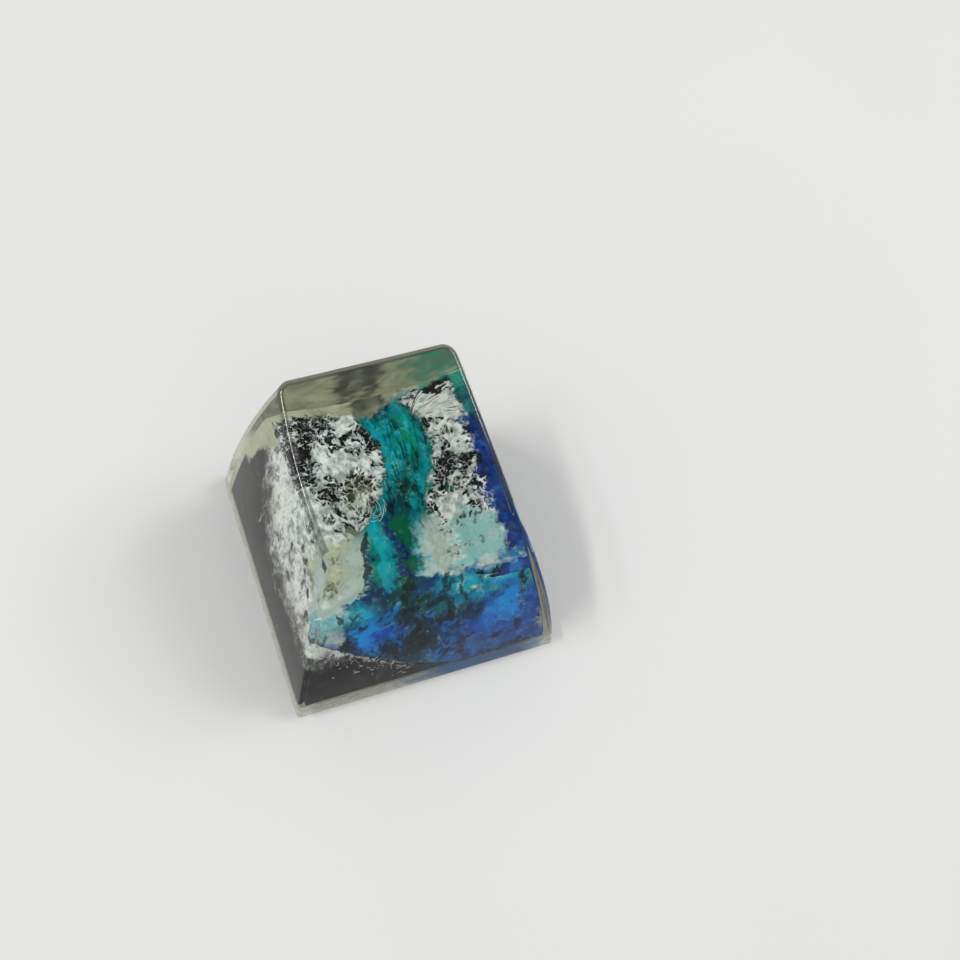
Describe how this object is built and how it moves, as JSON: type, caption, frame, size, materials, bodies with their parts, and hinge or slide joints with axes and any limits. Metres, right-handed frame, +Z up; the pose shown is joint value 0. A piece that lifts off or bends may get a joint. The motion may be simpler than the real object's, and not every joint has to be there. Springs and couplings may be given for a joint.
{
  "type": "artisan keycap",
  "caption": "Tall cast-resin keycap with bowed sides and a scooped top, clear over a rock and water scene, hollow below around a stem with a cross-shaped socket.",
  "frame": {"origin": "centre of the base, on the plane of the base rim", "axes": "+Z up through the top, -Y towards the front of the keyboard, where the long sloping side is"},
  "size_m": [0.0184, 0.0184, 0.0139],
  "materials": {
    "clear_resin": "polished clear resin with a faint olive tint",
    "black_resin": "black cast resin, white paint dragged over its rock surface",
    "tinted_resin": "resin tinted in blues and greens that run into each other"
  },
  "bodies": {
    "root": {"clear_casting": "clear_resin", "rock_base": "black_resin", "river_pour": "tinted_resin"}
  },
  "joints": []
}
